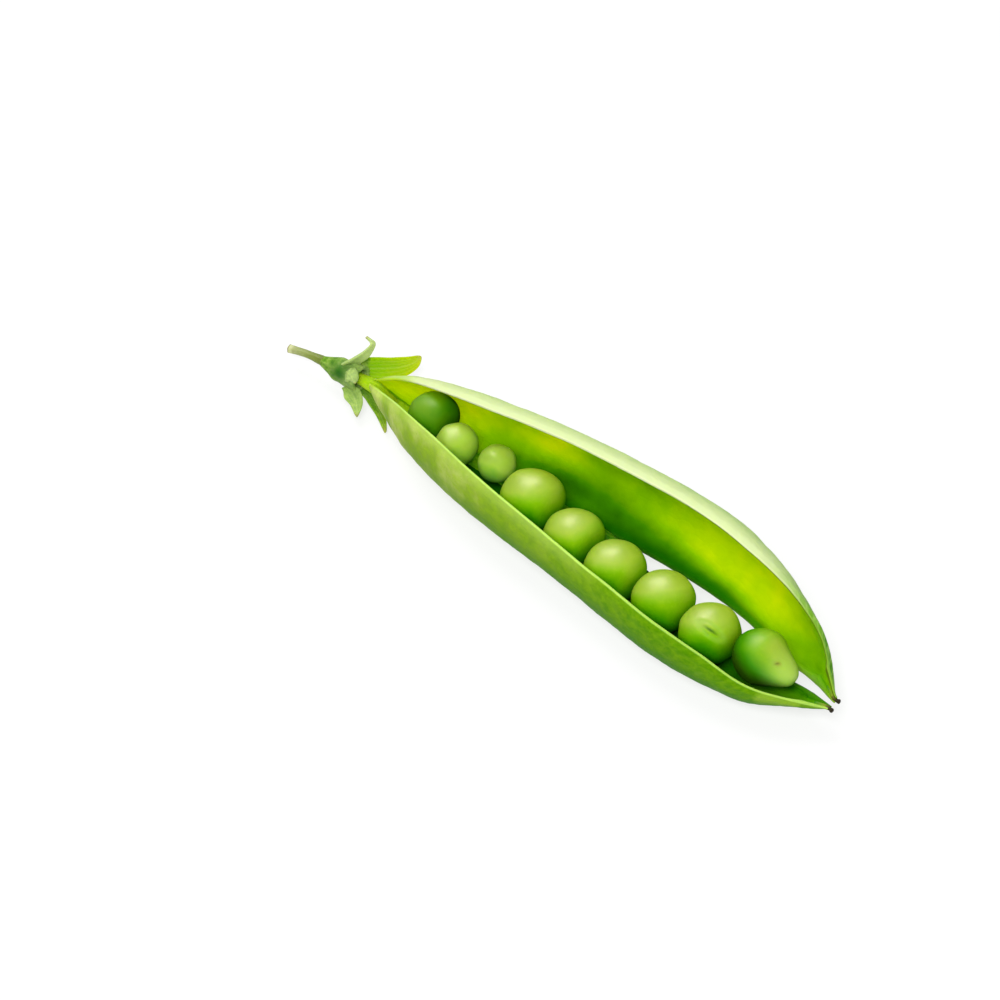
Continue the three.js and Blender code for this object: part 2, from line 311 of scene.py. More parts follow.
def addLamp(name, target):
    lampSet = studio[name]
    data = bpy.data.lights.new(name, "AREA")
    data.shape = "DISK"
    data.size = lampSet["size"]
    data.energy = lampSet["power"]
    lamp = bpy.data.objects.new(name, data)
    lamp.location = lampSet["from"]
    lamp.rotation_euler = (target - Vector(lampSet["from"])).to_track_quat("-Z", "Y").to_euler()
    lamp.visible_glossy = lampSet["shine"]
    bpy.context.scene.collection.objects.link(lamp)


def setStudio():
    scene = bpy.context.scene
    turn, rise = math.radians(studio["turn"]), math.radians(studio["rise"])
    level = math.cos(rise)
    back = Vector((math.sin(turn) * level, -math.cos(turn) * level, math.sin(rise)))
    target = Vector(place(studio["target"]))
    data = bpy.data.cameras.new("camera")
    data.lens = studio["lens"]
    data.sensor_width = studio["sensor"]
    data.clip_start, data.clip_end = studio["clip"]
    camera = bpy.data.objects.new("camera", data)
    camera.location = target + back * studio["distance"] / perMetre
    camera.rotation_euler = back.to_track_quat("Z", "Y").to_euler()
    scene.collection.objects.link(camera)
    scene.camera = camera

    addLamp("keyLamp", target)
    addLamp("sideLamp", target)
    world = bpy.data.worlds.new("studioSky")
    scene.world = world
    world.use_nodes = True
    sky = world.node_tree.nodes["Background"]
    sky.inputs["Color"].default_value = (1, 1, 1, 1)
    sky.inputs["Strength"].default_value = studio["skyStrength"]
    scene.view_settings.view_transform = "Standard"

    half = studio["floorHalf"]
    corners = [(-half, -half, 0), (half, -half, 0), (half, half, 0), (-half, half, 0)]
    mesh = bpy.data.meshes.new("floor")
    mesh.from_pydata(corners, [], [(0, 1, 2, 3)])
    floor = bpy.data.objects.new("floor", mesh)
    scene.collection.objects.link(floor)
    material, _ = newMaterial(
        "paleFloor", Base_Color=(studio["floorShade"],) * 3 + (1,), Roughness=0.9,
        Specular_IOR_Level=0.1, Emission_Color=(1, 1, 1, 1), Emission_Strength=studio["floorGlow"],
    )
    mesh.materials.append(material)
    print("camera, lamps and floor")


setStudio()


pod = {  # side -1 is the near valve, side 1 the far one; shares run from the neck, 0, to the tip, 1
    "length": 98, "height": 15.7, "neckHeight": 2.0, "tipHeight": 1.3,
    "fullness": {"neck": (3.97, 0.775), "tip": (4.15, 0.91)},  # how square the outline is at each end
    "depth": {  # of one valve, as a share of its height
        "neck": 0.387, "middle": 0.46, "tip": {-1: 0.355, 1: 0.303}, "fullBy": 0.58, "tipFrom": 0.7,
    },
    "wall": 1.2, "rimWall": 0.55, "thinEnds": 5,  # a valve lower than this has a thinner wall
    "lean": {  # degrees from flat on the table
        -1: {"neck": 58.7, "middle": 36.4, "turns": (0.075, 0.58), "tip": -12.7, "tipFrom": 0.8},
        1: {"neck": 85.4, "middle": 94.8, "turns": (0.133, 0.486), "tip": 23.2, "tipFrom": 0.75},
    },
    "split": {  # how far the far valve has come away from the seam, and which way
        "width": 3.15, "from": 0.425, "full": 0.758, "closing": 0.776, "atTip": 0.47, "tipFrom": 0.8,
        "way": (0.821, 0.543),
    },
    "seamPath": [
        (0, -0.8, 1.45), (0.06, 0.5, -1.0), (0.14, 0.43, -1.75), (0.25, 0.4, -1.3), (0.5, 1.6, -0.13),
        (0.75, 0.13, -0.46), (0.88, -0.6, -0.4), (0.95, -1.1, 1.45), (1, -1.9, 2.2),
    ],
    "bulge": 0.12, "bulgePea": 5, "bulgeSpread": 4.2,  # how the near valve gives over a pea of that radius
    "rest": -2.35, "softRest": 0.004,  # height of the table, and how softly the belly meets it
    "stations": 330, "across": 56, "capSteps": 8,
    "girth": {"skin": 1.45, "lining": 1.35, "grain": 1.4},  # length over the arch for a valve 1 high
    "ridge": {"height": 0.1, "at": 0.5, "width": 0.38},  # raised line beside the rim
    "groove": {"depth": 0.08, "at": 1.35, "width": 0.5},
    "swell": {"height": 0.05, "size": 7, "fineHeight": 0.45, "fineSize": 2.2, "room": 6},
    "liningSwell": (0.035, 5),  # height and size
    "wobble": {"height": {-1: 0.07, 1: 0.04}, "size": 9, "from": 0.8},  # the free edge
    "seeds": {"swell": 11, "fine": 21, "lining": 31, "wobble": 41},
    # painted light and shade in the lining along the valve, as daylight through the flesh: low down, high up,
    # and where one turns to the other
    "glowPath": {
        -1: [
            (0, 0.6, 0.8, 0.1, 0.4), (0.2, 0.3, 0.5, 0.1, 0.4), (0.6, 0.15, 0.35, 0.1, 0.4),
            (1, 0.4, 0.55, 0.1, 0.4),
        ],
        1: [
            (0, 0.75, 0.85, 0.1, 0.4), (0.17, 0.6, 0.92, 0.12, 0.42),
            (0.25, 0.45, 0.85, 0.18, 0.45), (0.35, 0.2, 0.88, 0.2, 0.46),
            (0.46, 0.18, 0.56, 0.15, 0.45), (0.56, 0.14, 0.62, 0.06, 0.38),
            (0.66, 0.22, 0.78, 0.06, 0.26), (0.74, 0.32, 0.84, 0.06, 0.22),
            (0.8, 0.6, 0.92, 0.04, 0.3), (0.85, 0.6, 0.82, 0.05, 0.4),
            (0.91, 0.48, 0.58, 0.1, 0.6), (1, 0.4, 0.5, 0.1, 0.6),
        ],
    },
}
peas = [  # x, y, z, radius, reach to the stem and to the tip, narrowing
    (13.95, -1.1, 4.35, 4.3, 1.04, 0.72, 0), (20.6, -2.9, 4.35, 3.55, 0.93, 0.93, 0),
    (27.7, -1, 3.7, 3.1, 0.97, 0.97, 0), (38.4, -3.8, 4.85, 5.15, 1.12, 0.76, 0),
    (48.05, -4.85, 4.03, 5, 1.07, 0.67, 0), (56.98, -5.35, 3.92, 5.08, 1.02, 0.79, 0),
    (66.6, -4.9, 4, 5.05, 1.02, 0.83, 0), (76.15, -4.95, 4.12, 4.9, 1.02, 0.87, 0),
    (85.5, -3.6, 4.87, 4.45, 1.08, 1.07, 0.24),
]


def seamAt(share):  # how far across and how high the back seam runs
    return np.stack([through(pod["seamPath"], share, column) for column in (1, 2)], axis=-1)


def valveShape(share, side):
    neck, tip = pod["fullness"]["neck"], pod["fullness"]["tip"]
    outward = np.abs(share - 0.5) / 0.5
    first = share < 0.5
    power, root = np.where(first, neck[0], tip[0]), np.where(first, neck[1], tip[1])
    profile = pod["height"] * np.maximum(1 - outward**power, 0) ** root
    height = np.hypot(profile, np.where(first, pod["neckHeight"], pod["tipHeight"]))
    plump, lean, split = pod["depth"], pod["lean"][side], pod["split"]
    depth = mix(plump["neck"], plump["middle"], ease(share, 0, plump["fullBy"]))
    depth = height * mix(depth, plump["tip"][side], ease(share, plump["tipFrom"], 1))
    tilt = mix(lean["neck"], lean["middle"], ease(share, *lean["turns"]))
    tilt = tilt + lean["tip"] * ease(share, lean["tipFrom"], 1)
    edge = seamAt(share)
    if side > 0:
        parting = split["width"] * ease(share, split["from"], split["full"])
        parting = parting * (1 - ease(share, split["closing"], 1))
        parting = parting + split["atTip"] * ease(share, split["tipFrom"], 1)
        edge = edge + np.array(split["way"]) * parting[..., None]
    return height, depth, np.radians(tilt), edge


def valvePoint(share, arch, side, inset):  # arch runs over the valve from the seam, 0, to the rim, pi
    share, arch = np.broadcast_arrays(np.asarray(share, float), np.asarray(arch, float))
    height, depth, tilt, edge = valveShape(share, side)
    upward = np.stack([-np.cos(tilt), np.sin(tilt)], axis=-1)
    out = np.stack([side * np.sin(tilt), side * np.cos(tilt)], axis=-1)
    bulge = 0
    if side < 0:
        for x, _, _, radius, *_ in peas:
            over = bell(share * pod["length"], x, pod["bulgeSpread"])
            bulge = bulge + pod["bulge"] * radius / pod["bulgePea"] * over
    rise = height / 2 - (height / 2 - inset) * np.cos(arch)
    reach = (depth + bulge - inset) * np.sin(arch)
    flat = edge + upward * rise[..., None] + out * reach[..., None]
    return np.concatenate([share[..., None] * pod["length"], flat], axis=-1)


def valveMesh(side):
    # stations stand closer together near the two ends
    share = (0.5 - 0.5 * np.cos(np.pi * np.arange(pod["stations"] + 1) / pod["stations"]))[:, None]
    height, depth, tilt, _ = valveShape(share, side)
    flesh = pod["wall"] * np.clip(height / pod["thinEnds"], 0.25, 1)
    rimFlesh = flesh * pod["rimWall"] / pod["wall"]
    x = share * pod["length"]
    out = np.concatenate([0 * share, side * np.sin(tilt), side * np.cos(tilt)], axis=-1)

    def archRange(inset):  # where the arch stops so that a round edge can finish it
        start = np.arcsin(np.clip(flesh / 2 / (depth - inset), 0, 0.9))
        end = np.pi - np.arcsin(np.clip(rimFlesh / 2 / (depth - inset), 0, 0.9))
        return start + (end - start) * np.linspace(0, 1, pod["across"])[None, :]

    skinArch = archRange(0)
    liningArch = archRange(flesh)
    skin = valvePoint(share, skinArch, side, 0)
    inset = mix(flesh, rimFlesh, ease(liningArch, 0.7 * np.pi, np.pi))
    lining = valvePoint(share, liningArch, side, inset)

    # raised ridge beside the rim, gentle swells on the skin, a slightly uneven free edge
    girth, seeds = pod["girth"], pod["seeds"]
    normal = unit(np.cross(np.gradient(skin, axis=0), np.gradient(skin, axis=1))) * side
    around = skinArch / np.pi * girth["skin"] * height
    toRim = (np.pi - skinArch) / np.pi * girth["skin"] * height
    toRimIn = (np.pi - liningArch) / np.pi * girth["lining"] * height
    ridge, groove, swell, wobble = pod["ridge"], pod["groove"], pod["swell"], pod["wobble"]
    room = np.clip(height / swell["room"], 0, 1)
    beside = ridge["height"] * bell(toRim, ridge["at"], ridge["width"])
    beside = (beside - groove["depth"] * bell(toRim, groove["at"], groove["width"])) * room
    coarse = ripples(x, around, seeds["swell"] + side, swell["size"])
    fine = ripples(x, around, seeds["fine"] + side, swell["fineSize"])
    uneven = swell["height"] * (coarse + swell["fineHeight"] * fine)
    skin = skin + normal * (beside + uneven * room * np.sin(skinArch) ** 0.5)[..., None]
    rise, size = pod["liningSwell"]
    uneven = rise * ripples(x, around, seeds["lining"] + side, size)
    lining = lining + normal * (uneven * room * np.sin(liningArch))[..., None]
    free = wobble["height"][side] * ripples(x, 0 * x, seeds["wobble"] + side, wobble["size"]) * room
    lift = np.concatenate([0 * share, -np.cos(tilt), np.sin(tilt)], axis=-1)
    top = wobble["from"] * np.pi
    skin = skin + lift[:, None] * (free * ease(skinArch, top, np.pi))[..., None]
    lining = lining + lift[:, None] * (free * ease(liningArch, top, np.pi))[..., None]

    def roundEdge(a, b):  # half circle from a to b, on the side away from the arch
        middle, arm = (a + b) / 2, (a - b) / 2
        size = np.linalg.norm(arm, axis=-1, keepdims=True)
        turn = np.linspace(0, np.pi, pod["capSteps"] + 2)[1:-1]
        return (
            middle[:, None]
            + arm[:, None] * np.cos(turn)[None, :, None]
            - out[:, None] * size[:, None] * np.sin(turn)[None, :, None]
        )

    rimCap = roundEdge(skin[:, -1], lining[:, -1])
    seamCap = roundEdge(lining[:, 0], skin[:, 0])
    loops = np.concatenate([skin, rimCap, lining[:, ::-1], seamCap], axis=1)
    rows, count = loops.shape[:2]

    # what the finish needs to know: inner or outer face, height up the valve, distance to the rim
    cap = np.linspace(0, 1, pod["capSteps"])[None, :] * np.ones_like(share)
    inner = np.concatenate([0 * skinArch, cap, 0 * liningArch + 1, 1 - cap], axis=1)
    upSkin, upLining = skinArch / np.pi, liningArch / np.pi
    up = np.concatenate([upSkin, 0 * cap + 1, upLining[:, ::-1], 0 * cap], axis=1)
    atSeam = 0 * cap + girth["grain"] * height
    rimGap = np.concatenate([toRim, 0 * cap, toRimIn[:, ::-1], atSeam], axis=1)
    along = np.broadcast_to(share, up.shape)
    glowPath = pod["glowPath"][side]
    climb = ease(up, through(glowPath, along, 3), through(glowPath, along, 4))
    lit = mix(through(glowPath, along, 1), through(glowPath, along, 2), climb)
    layer = inner * 40 + side * 90  # keeps the patterns of the faces and valves apart
    grain = [along * pod["length"], up * girth["grain"] * np.broadcast_to(height, up.shape), layer]
    grain = np.stack(grain, axis=-1)
    loops[..., 2] = restOn(loops[..., 2])
    marks = {
        "inner": inner.ravel(), "up": up.ravel(), "along": along.ravel(), "rimGap": rimGap.ravel(),
        "lit": np.clip(lit, 0, 1).ravel(), "grain": grain.reshape(-1, 3),
    }
    return loops.reshape(-1, 3), valveFaces(side, rows, count), marks


def valveFaces(side, rows, count):
    faces = loopFaces(rows, count)
    last = (rows - 1) * count
    n, c = pod["across"], pod["capSteps"]
    closeLoops(faces, rows, count, n, 2 * n + c - 1)
    rimEnd = list(range(n - 1, n + c + 1))
    seamEnd = list(range(2 * n + c - 1, 2 * n + 2 * c)) + [0]
    for loop in (rimEnd, seamEnd):
        faces.append(tuple(reversed(loop)))
        faces.append(tuple(last + k for k in loop))
    return faces if side < 0 else [f[::-1] for f in faces]


def restOn(z):  # the belly lies flat on the table, with a soft change into it
    over = z - pod["rest"]
    return pod["rest"] + (over + np.sqrt(over**2 + pod["softRest"])) / 2


fleshLook = {
    # clouds: scale, detail, roughness, and how they are stretched
    "blotch": (0.16, 3, 0.5), "mottle": (0.9, 5, 0.62, (0.8, 1.1, 1)), "fine": (3.4, 3, 0.6),
    "drift": (0.11, 2, 0.5), "smallDrift": (0.4, 3, 0.5), "silk": (1.3, 4, 0.6, (3.2, 0.5, 1)),
    "blotchSwing": 0.9, "driftSwing": 0.4, "smallDriftSwing": 0.2, "roughSwing": 0.3,
    "veinScale": 0.62, "veinTurn": 0.5, "veinStretch": (0.55, 0.95, 1), "veinWidth": 0.16,
    # where a cloud or a place on the valve starts to show and where it shows in full, then how much
    "spots": (0.34, 0.7), "spotsAlong": (0.35, 0.85, 0.5, 0.24),
    "pits": (0.54, 0.74), "pitAmount": 0.34,
    "lowShade": (0.9, 0.66), "lowShadeAlong": (0.0, 0.6, 0.2),
    "silkShows": (0.35, 0.75), "silkWhereLit": (0.3, 0.8, 0.0, 0.07),
    # painted light in the lining beside the rim
    "edge": (1.5, 0.3, 0.0),
    "seamShadow": (0.13, 0.03, 0.0, 0.9), "seamShadowEnd": (0.92, 0.82),
    "beadSoft": 0.45, "beadThins": (0.55, 0.8, 1.0, 0.75),
    "rimLineOut": (0.3, 0.4), "rimLineIn": (0.85, 0.7), "rimLineRim": (0.3, 0.1),
    "rimLineFrom": (0.56, 0.68), "rimLineWander": 0.2,
    "fade": 0.06, "quickFade": 0.05,  # how softly a stretch along the valve starts and ends
    # bumps: strength, and height in metres
    "veinBump": (0.25, 0.00008), "fineBump": (0.35, 0.00006), "mottleBump": (0.3, 0.00018),
}


def podFinish(name, look):
    material, shader = newMaterial(
        name, Subsurface_Radius=leafGlow, Subsurface_Scale=look["reach"],
        Specular_IOR_Level=0.09, Specular_Tint=tint(200, 255, 110),
    )
    grain, along, up, inner, rimGap = map(mark, ("grain", "along", "up", "inner", "rimGap"))

    def shows(value, key, *amount):
        return span(value, *fleshLook[key], *amount)

    blotch = cloud(grain, *fleshLook["blotch"])
    mottle = cloud(grain, *fleshLook["mottle"])
    fine = cloud(grain, *fleshLook["fine"])
    turned = {"Vector": grain, "Rotation": (0, 0, fleshLook["veinTurn"]), "Scale": fleshLook["veinStretch"]}
    cells = {"Vector": node("Mapping", turned).outputs[0], "Scale": fleshLook["veinScale"], "Randomness": 1.0}
    veins = node("TexVoronoi", cells, feature="DISTANCE_TO_EDGE").outputs["Distance"]
    veinLine = span(veins, 0.0, fleshLook["veinWidth"], 1, 0)

    # outer skin
    skin = ramp(plus(along, swing(blotch, fleshLook["blotchSwing"])), look["skin"])
    spots = times(shows(mottle, "spots"), shows(along, "spotsAlong"))
    skin = blend(spots, skin, look["mottle"])
    pits = times(shows(fine, "pits"), fleshLook["pitAmount"])
    skin = blend(pits, skin, look["dusk"])
    skin = blend(times(veinLine, look["veinAmount"]), skin, look["vein"])
    # painted shade: the skin darker low down on the valve
    lowShade = times(shows(up, "lowShade"), shows(along, "lowShadeAlong", look["lowShadeAmount"]))
    skin = blend(lowShade, skin, look["low"])
    # painted light: the skin near the rim, facing the light, is paler; on the far valve it is nearly white
    paleLightFrom, paleTo = look["paleLightAlong"]
    fade, quick = fleshLook["fade"], fleshLook["quickFade"]
    paintedTopLight = times(span(rimGap, look["paleLightReach"], 0.0), look["paleLightAmount"])
    paintedTopLight = times(paintedTopLight, span(along, paleTo + fade, paleTo - fade))
    paintedTopLight = times(paintedTopLight, span(along, paleLightFrom, paleLightFrom + quick))
    skin = blend(paintedTopLight, skin, look["pale"])

    # lining: painted light and shade, lighter where daylight would glow through the thin flesh, darker in the
    # trough and at the tip; the subsurface weight follows it too
    drift = swing(cloud(grain, *fleshLook["drift"]), fleshLook["driftSwing"])
    smallDrift = swing(cloud(grain, *fleshLook["smallDrift"]), fleshLook["smallDriftSwing"])
    drift = plus(drift, smallDrift)
    lit = calc("ADD", mark("lit"), drift, clamp=True)
    lining = ramp(lit, look["lining"])
    skinGlow, liningGlow = look["glow"]
    glow = node("Mix", {0: inner, 2: skinGlow, 3: times(lit, liningGlow)})
    silk = cloud(grain, *fleshLook["silk"])
    silk = times(shows(silk, "silkShows"), shows(lit, "silkWhereLit"))
    lining = blend(silk, lining, look["silk"])
    # painted light: the lining paler next to the rim
    lining = blend(shows(rimGap, "edge", look["edgeLightAmount"]), lining, look["edge"])

    # both faces: the painted shadow, a dark line at the seam, and the pale bead along the rim
    body = blend(inner, skin, lining)
    seamShadow = times(shows(up, "seamShadow"), shows(along, "seamShadowEnd"))
    body = blend(seamShadow, body, look["seam"])
    reach, beadEnd = look["beadReach"], look["beadEnd"]
    bead = span(rimGap, reach, reach * fleshLook["beadSoft"])
    beadTint = blend(span(along, paleLightFrom, paleLightFrom + fade), look["beadRoot"], look["bead"])
    bead = times(bead, span(along, beadEnd + quick, beadEnd - quick, 0.0, look["beadAmount"]))
    bead = times(bead, shows(along, "beadThins"))
    body = blend(bead, body, beadTint)
    if look["rimLine"] > 0:  # a dark line along the edge of the far rim, from past the middle on
        onEdge = times(shows(inner, "rimLineOut"), shows(inner, "rimLineIn"))
        onEdge = times(onEdge, shows(rimGap, "rimLineRim"))
        started = shows(plus(along, swing(mottle, fleshLook["rimLineWander"])), "rimLineFrom")
        rimLine = times(times(onEdge, started), look["rimLine"])
        body = blend(rimLine, body, look["rimLineColour"])

    rough = plus(look["roughness"], swing(mottle, fleshLook["roughSwing"]))
    bump = bumped(veinLine, *fleshLook["veinBump"])
    bump = bumped(fine, *fleshLook["fineBump"], bump)
    bump = bumped(mottle, *fleshLook["mottleBump"], bump)
    feed(shader, Base_Color=body, Roughness=rough, Normal=bump, Subsurface_Weight=glow.outputs[0])
    return material


nearLook = {
    "glow": (0.2, 0.4), "reach": 0.0012, "roughness": 0.6,
    # partly the skin's own tone and partly painted light and shade: paler at the neck, darker further along
    "skin": [
        (0.0, 196, 206, 114), (0.25, 130, 158, 46), (0.5, 104, 146, 18),
        (0.75, 76, 130, 0), (0.88, 80, 134, 4), (1.0, 126, 164, 44),
    ],
    "mottle": tint(144, 180, 20), "dusk": tint(56, 112, 4),
    "vein": tint(136, 178, 30), "veinAmount": 0.12,
    # painted shade low on the skin
    "low": tint(42, 108, 0), "lowShadeAmount": 0.75,
    # painted light: paler skin near the rim
    "pale": tint(166, 192, 90), "paleLightReach": 3.0, "paleLightAmount": 0.45, "paleLightAlong": (0.0, 0.55),
    # painted light and shade: lining colours from the shaded trough to the lit top
    "lining": [(0.0, 4, 60, 0), (0.3, 24, 100, 0), (0.6, 90, 155, 0), (1.0, 165, 200, 6)],
    "silk": tint(130, 190, 30), "edge": tint(120, 180, 10), "edgeLightAmount": 0.3,
    "bead": tint(188, 228, 104), "beadRoot": tint(180, 210, 60),
    "beadReach": 0.5, "beadAmount": 0.85, "beadEnd": 1.2,
    # painted shadow at the seam
    "seam": tint(16, 76, 0), "rimLine": 0.0,
}
farLook = {
    "glow": (0.15, 1.0), "reach": 0.012, "roughness": 0.5,
    # partly the skin's own tone and partly painted shade: paler at the neck, darker towards the tip
    "skin": [
        (0.0, 176, 206, 100), (0.35, 150, 194, 76), (0.7, 126, 180, 50),
        (0.87, 96, 156, 20), (1.0, 54, 122, 0),
    ],
    "mottle": tint(190, 216, 116), "dusk": tint(92, 152, 40),
    "vein": tint(176, 212, 110), "veinAmount": 0.35,
    # painted shade low on the skin
    "low": tint(110, 160, 50), "lowShadeAmount": 0.3,
    # painted light: the far valve's skin near the rim nearly white
    "pale": tint(214, 228, 166), "paleLightReach": 8.0, "paleLightAmount": 0.9, "paleLightAlong": (0.045, 0.84),
    # painted light and shade: lining colours from the shaded trough to the lit top
    "lining": [
        (0.0, 16, 66, 0), (0.3, 46, 114, 0), (0.6, 98, 156, 0), (0.85, 150, 185, 0), (1.0, 184, 197, 2),
    ],
    "silk": tint(150, 205, 20), "edge": tint(190, 215, 40), "edgeLightAmount": 0.6,
    "bead": tint(222, 234, 170), "beadRoot": tint(170, 205, 20),
    "beadReach": 0.5, "beadAmount": 0.85, "beadEnd": 0.86,
    # painted shadow at the seam
    "seam": tint(10, 76, 0), "rimLine": 0.9, "rimLineColour": tint(64, 88, 8),
}


def makeValves():
    for side, name, look in ((-1, "podNearValve", nearLook), (1, "podFarValve", farLook)):
        points, faces, marks = valveMesh(side)
        makePiece(name, points, faces, podFinish(name + "Flesh", look), ("pod_shell",), marks)


makeValves()


seam = {
    "radius": 1.25, "neckRadius": 0.9, "end": 0.575, "offset": (-0.35, 0.35), "thinFrom": 0.88,
    "knots": 13, "steps": 160, "sides": 28, "ribs": (6, 0.04), "grain": (51, 1.2, 0),
    "fibre": (1.0, 4, 0.6, (0.5, 3.0, 1)), "patch": (0.5, 3, 0.5), "patchSwing": 0.5,
    "fibreShows": (0.4, 0.7), "fibreAmount": 0.3, "fibreTint": tint(176, 208, 60), "bump": (0.5, 0.0001),
    "colours": [(0.0, 160, 200, 20), (0.25, 150, 200, 4), (0.6, 70, 138, 4), (1.0, 30, 104, 0)],
}
neck = {
    "path": [(0.6, -1.1, 2.0), (2.8, -0.6, 1.0), (5.5, 0.1, -0.3)],  # from the cup's mouth to the seam
    "root": 0.85, "middle": 1.2, "steps": 70, "sides": 30, "ribs": (8, 0.035), "grain": (11, 1.1, 7),
    "colourReach": 0.2,  # it keeps to the first part of the seam's colours
}
cup = {
    "root": (-10.4, -2.3, 1.4), "rim": (-2.5, -1.4, 2.0),
    "skin": [(0, 0.85), (0.12, 1.15), (0.3, 1.68), (0.45, 1.98), (0.7, 2.15), (1, 2.3)],
    "lining": [(1, 1.7), (0.75, 1.55), (0.55, 1.5)],
    "shadowPatch": (0.6, 2.55),  # a painted shadow, a dark green patch: how far along, and how far round
    "rimPale": (0.3, 0.8, 0.35), "backPale": (0.35, 0.2, 0.3),  # painted light: how much paler, how far along, how wide
    "steps": 60, "smooth": 6, "rimSteps": 8, "liningSteps": 24, "sides": 72,
    "ribs": 5, "ribTurn": 0.4, "rib": 0.09, "fineRibs": 15, "fineRib": 0.03, "sunk": 0.05,
    "dent": 0.06, "dentSize": 3.5, "dentSeed": 71, "grain": (8, 2, 0),
}


def seamFinish():
    material, shader = newMaterial(
        "podSeamFibre", Roughness=0.5, Specular_IOR_Level=0.1,
        Subsurface_Weight=0.8, Subsurface_Radius=leafGlow, Subsurface_Scale=0.006,
    )
    grain, along = mark("grain"), mark("along")
    fibre = cloud(grain, *seam["fibre"])
    patch = cloud(grain, *seam["patch"])
    colour = ramp(plus(along, swing(patch, seam["patchSwing"])), seam["colours"])
    fibres = times(span(fibre, *seam["fibreShows"]), seam["fibreAmount"])
    colour = blend(fibres, colour, seam["fibreTint"])
    feed(shader, Base_Color=colour, Normal=bumped(fibre, *seam["bump"]))
    return material


def ribbed(count, depth):  # shallow furrows along a round piece
    return lambda turn, share: 1 - depth * (1 - np.cos(count * turn))


def makeSeam(finish):
    share = np.linspace(0, seam["end"], seam["knots"])
    points = np.column_stack([share * pod["length"], seamAt(share) + seam["offset"]])
    line, ahead = curveThrough(points, seam["steps"])
    s = np.linspace(0, 1, seam["steps"])
    radius = mix(seam["neckRadius"], seam["radius"], ease(s, 0, 0.2))
    radius = radius * (1 - 0.5 * ease(s, seam["thinFrom"], 1))
    ends = ease(s, -0.01, 0.012) * (1 - ease(s, 0.985, 1.002))  # rounded off
    radius = radius * np.sqrt(np.clip(ends, 0.02, 1))
    points, faces, along, around = tube(line, ahead, radius, seam["sides"], ribbed(*seam["ribs"]))
    points[:, 2] = restOn(points[:, 2])
    marks = {"along": along, "grain": roundGrain(along, around, seam["grain"])}
    makePiece("podBackSeam", points, faces, finish, (), marks)


def makeNeck(finish):
    root, rim = np.array(cup["root"]), np.array(cup["rim"])
    seat = mix(root, rim, cup["lining"][-1][0] + 0.05)  # just clear of the floor of the cup
    line, ahead = curveThrough([seat, rim] + neck["path"], neck["steps"])
    s = np.linspace(0, 1, neck["steps"])
    radius = mix(neck["root"], neck["middle"], ease(s, 0.1, 0.5)) * (1 - 0.5 * ease(s, 0.5, 1))
    points, faces, along, around = tube(line, ahead, radius, neck["sides"], ribbed(*neck["ribs"]))
    marks = {"along": along * neck["colourReach"], "grain": roundGrain(along, around, neck["grain"])}
    makePiece("podNeck", points, faces, finish, (), marks)


dried = {
    "length": 0.8, "radius": 0.4, "endRadius": 0.34, "steps": 48, "sides": 20,
    "waist": 0.16, "waistAt": (0.8, 0.07), "knob": 0.1, "knobAt": (0.93, 0.06), "roundFrom": 0.94,
    "crust": (3.0, 4, 0.6), "crustSwing": 0.3, "bump": (0.6, 0.0001),
    "colours": [(0.0, 50, 124, 0), (0.5, 120, 144, 24), (0.68, 84, 80, 24), (0.82, 36, 30, 10)],
}


def driedFinish():
    material, shader = newMaterial("driedPointBark", Roughness=0.7)
    along, grain = mark("along"), mark("grain")
    crust = cloud(grain, *dried["crust"])
    colour = ramp(plus(along, swing(crust, dried["crustSwing"])), dried["colours"])
    feed(shader, Base_Color=colour, Normal=bumped(crust, *dried["bump"]))
    return material


def wrinkled(turn, share):  # five dried folds that wind a little
    return 1 + 0.05 * np.cos(5 * turn + 4 * share)


def makeDriedPoints():
    finish = driedFinish()
    for side, name in ((-1, "podNearPoint"), (1, "podFarPoint")):
        root = valvePoint(0.975, 1.1, side, 0.6)  # inside the valve's flesh
        knee = valvePoint(1.0, math.pi / 2, side, 0.25)
        end = knee + np.array([dried["length"], side * 0.12, 0])
        line, ahead = curveThrough([root, knee, end], dried["steps"])
        s = np.linspace(0, 1, dried["steps"])
        radius = mix(dried["radius"], dried["endRadius"], s)
        waist = dried["waist"] * bell(s, *dried["waistAt"])
        knob = dried["knob"] * bell(s, *dried["knobAt"])
        radius = radius * (1 - waist + knob)
        past = (s - dried["roundFrom"]) / (1 - dried["roundFrom"])
        radius = radius * np.sqrt(np.clip(1 - past.clip(0) ** 2, 0.05, 1))
        points, faces, along, around = tube(line, ahead, radius, dried["sides"], wrinkled)
        marks = {"along": along, "grain": roundGrain(along, around, (4, 0.4, side * 5))}
        makePiece(name, points, faces, finish, (), marks)


seamFibre = seamFinish()
makeSeam(seamFibre)
makeNeck(seamFibre)
makeDriedPoints()


